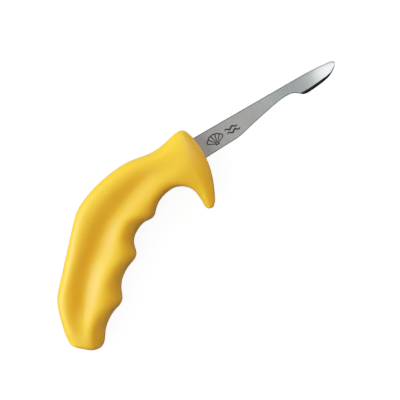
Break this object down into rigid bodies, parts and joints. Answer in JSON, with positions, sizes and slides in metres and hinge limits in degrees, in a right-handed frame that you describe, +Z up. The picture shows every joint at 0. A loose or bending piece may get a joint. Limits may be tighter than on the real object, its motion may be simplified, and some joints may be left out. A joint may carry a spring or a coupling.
{
  "type": "shellfish knife",
  "caption": "Shellfish knife with a short fixed stainless blade, scooped behind a rounded bevelled tip, and a moulded pistol grip with finger ridges and a horn in front of the index finger.",
  "frame": {"origin": "under the middle of the knife's box, on the surface it lies on when it rests on its side", "axes": "+X along the blade's straight spine towards the tip, +Y towards the spine side, +Z up through the thickness"},
  "size_m": [0.18, 0.0724, 0.0256],
  "materials": {
    "blade_steel": "fine ground satin stainless steel, ground lines across the blade",
    "core_plastic": "natural glass-filled plastic, hidden inside the grip",
    "grip_yellow": "soft satin yellow moulding"
  },
  "bodies": {
    "root": {"blade_and_tang": "blade_steel", "grip_core": "core_plastic", "grip_cover": "grip_yellow"}
  },
  "joints": []
}
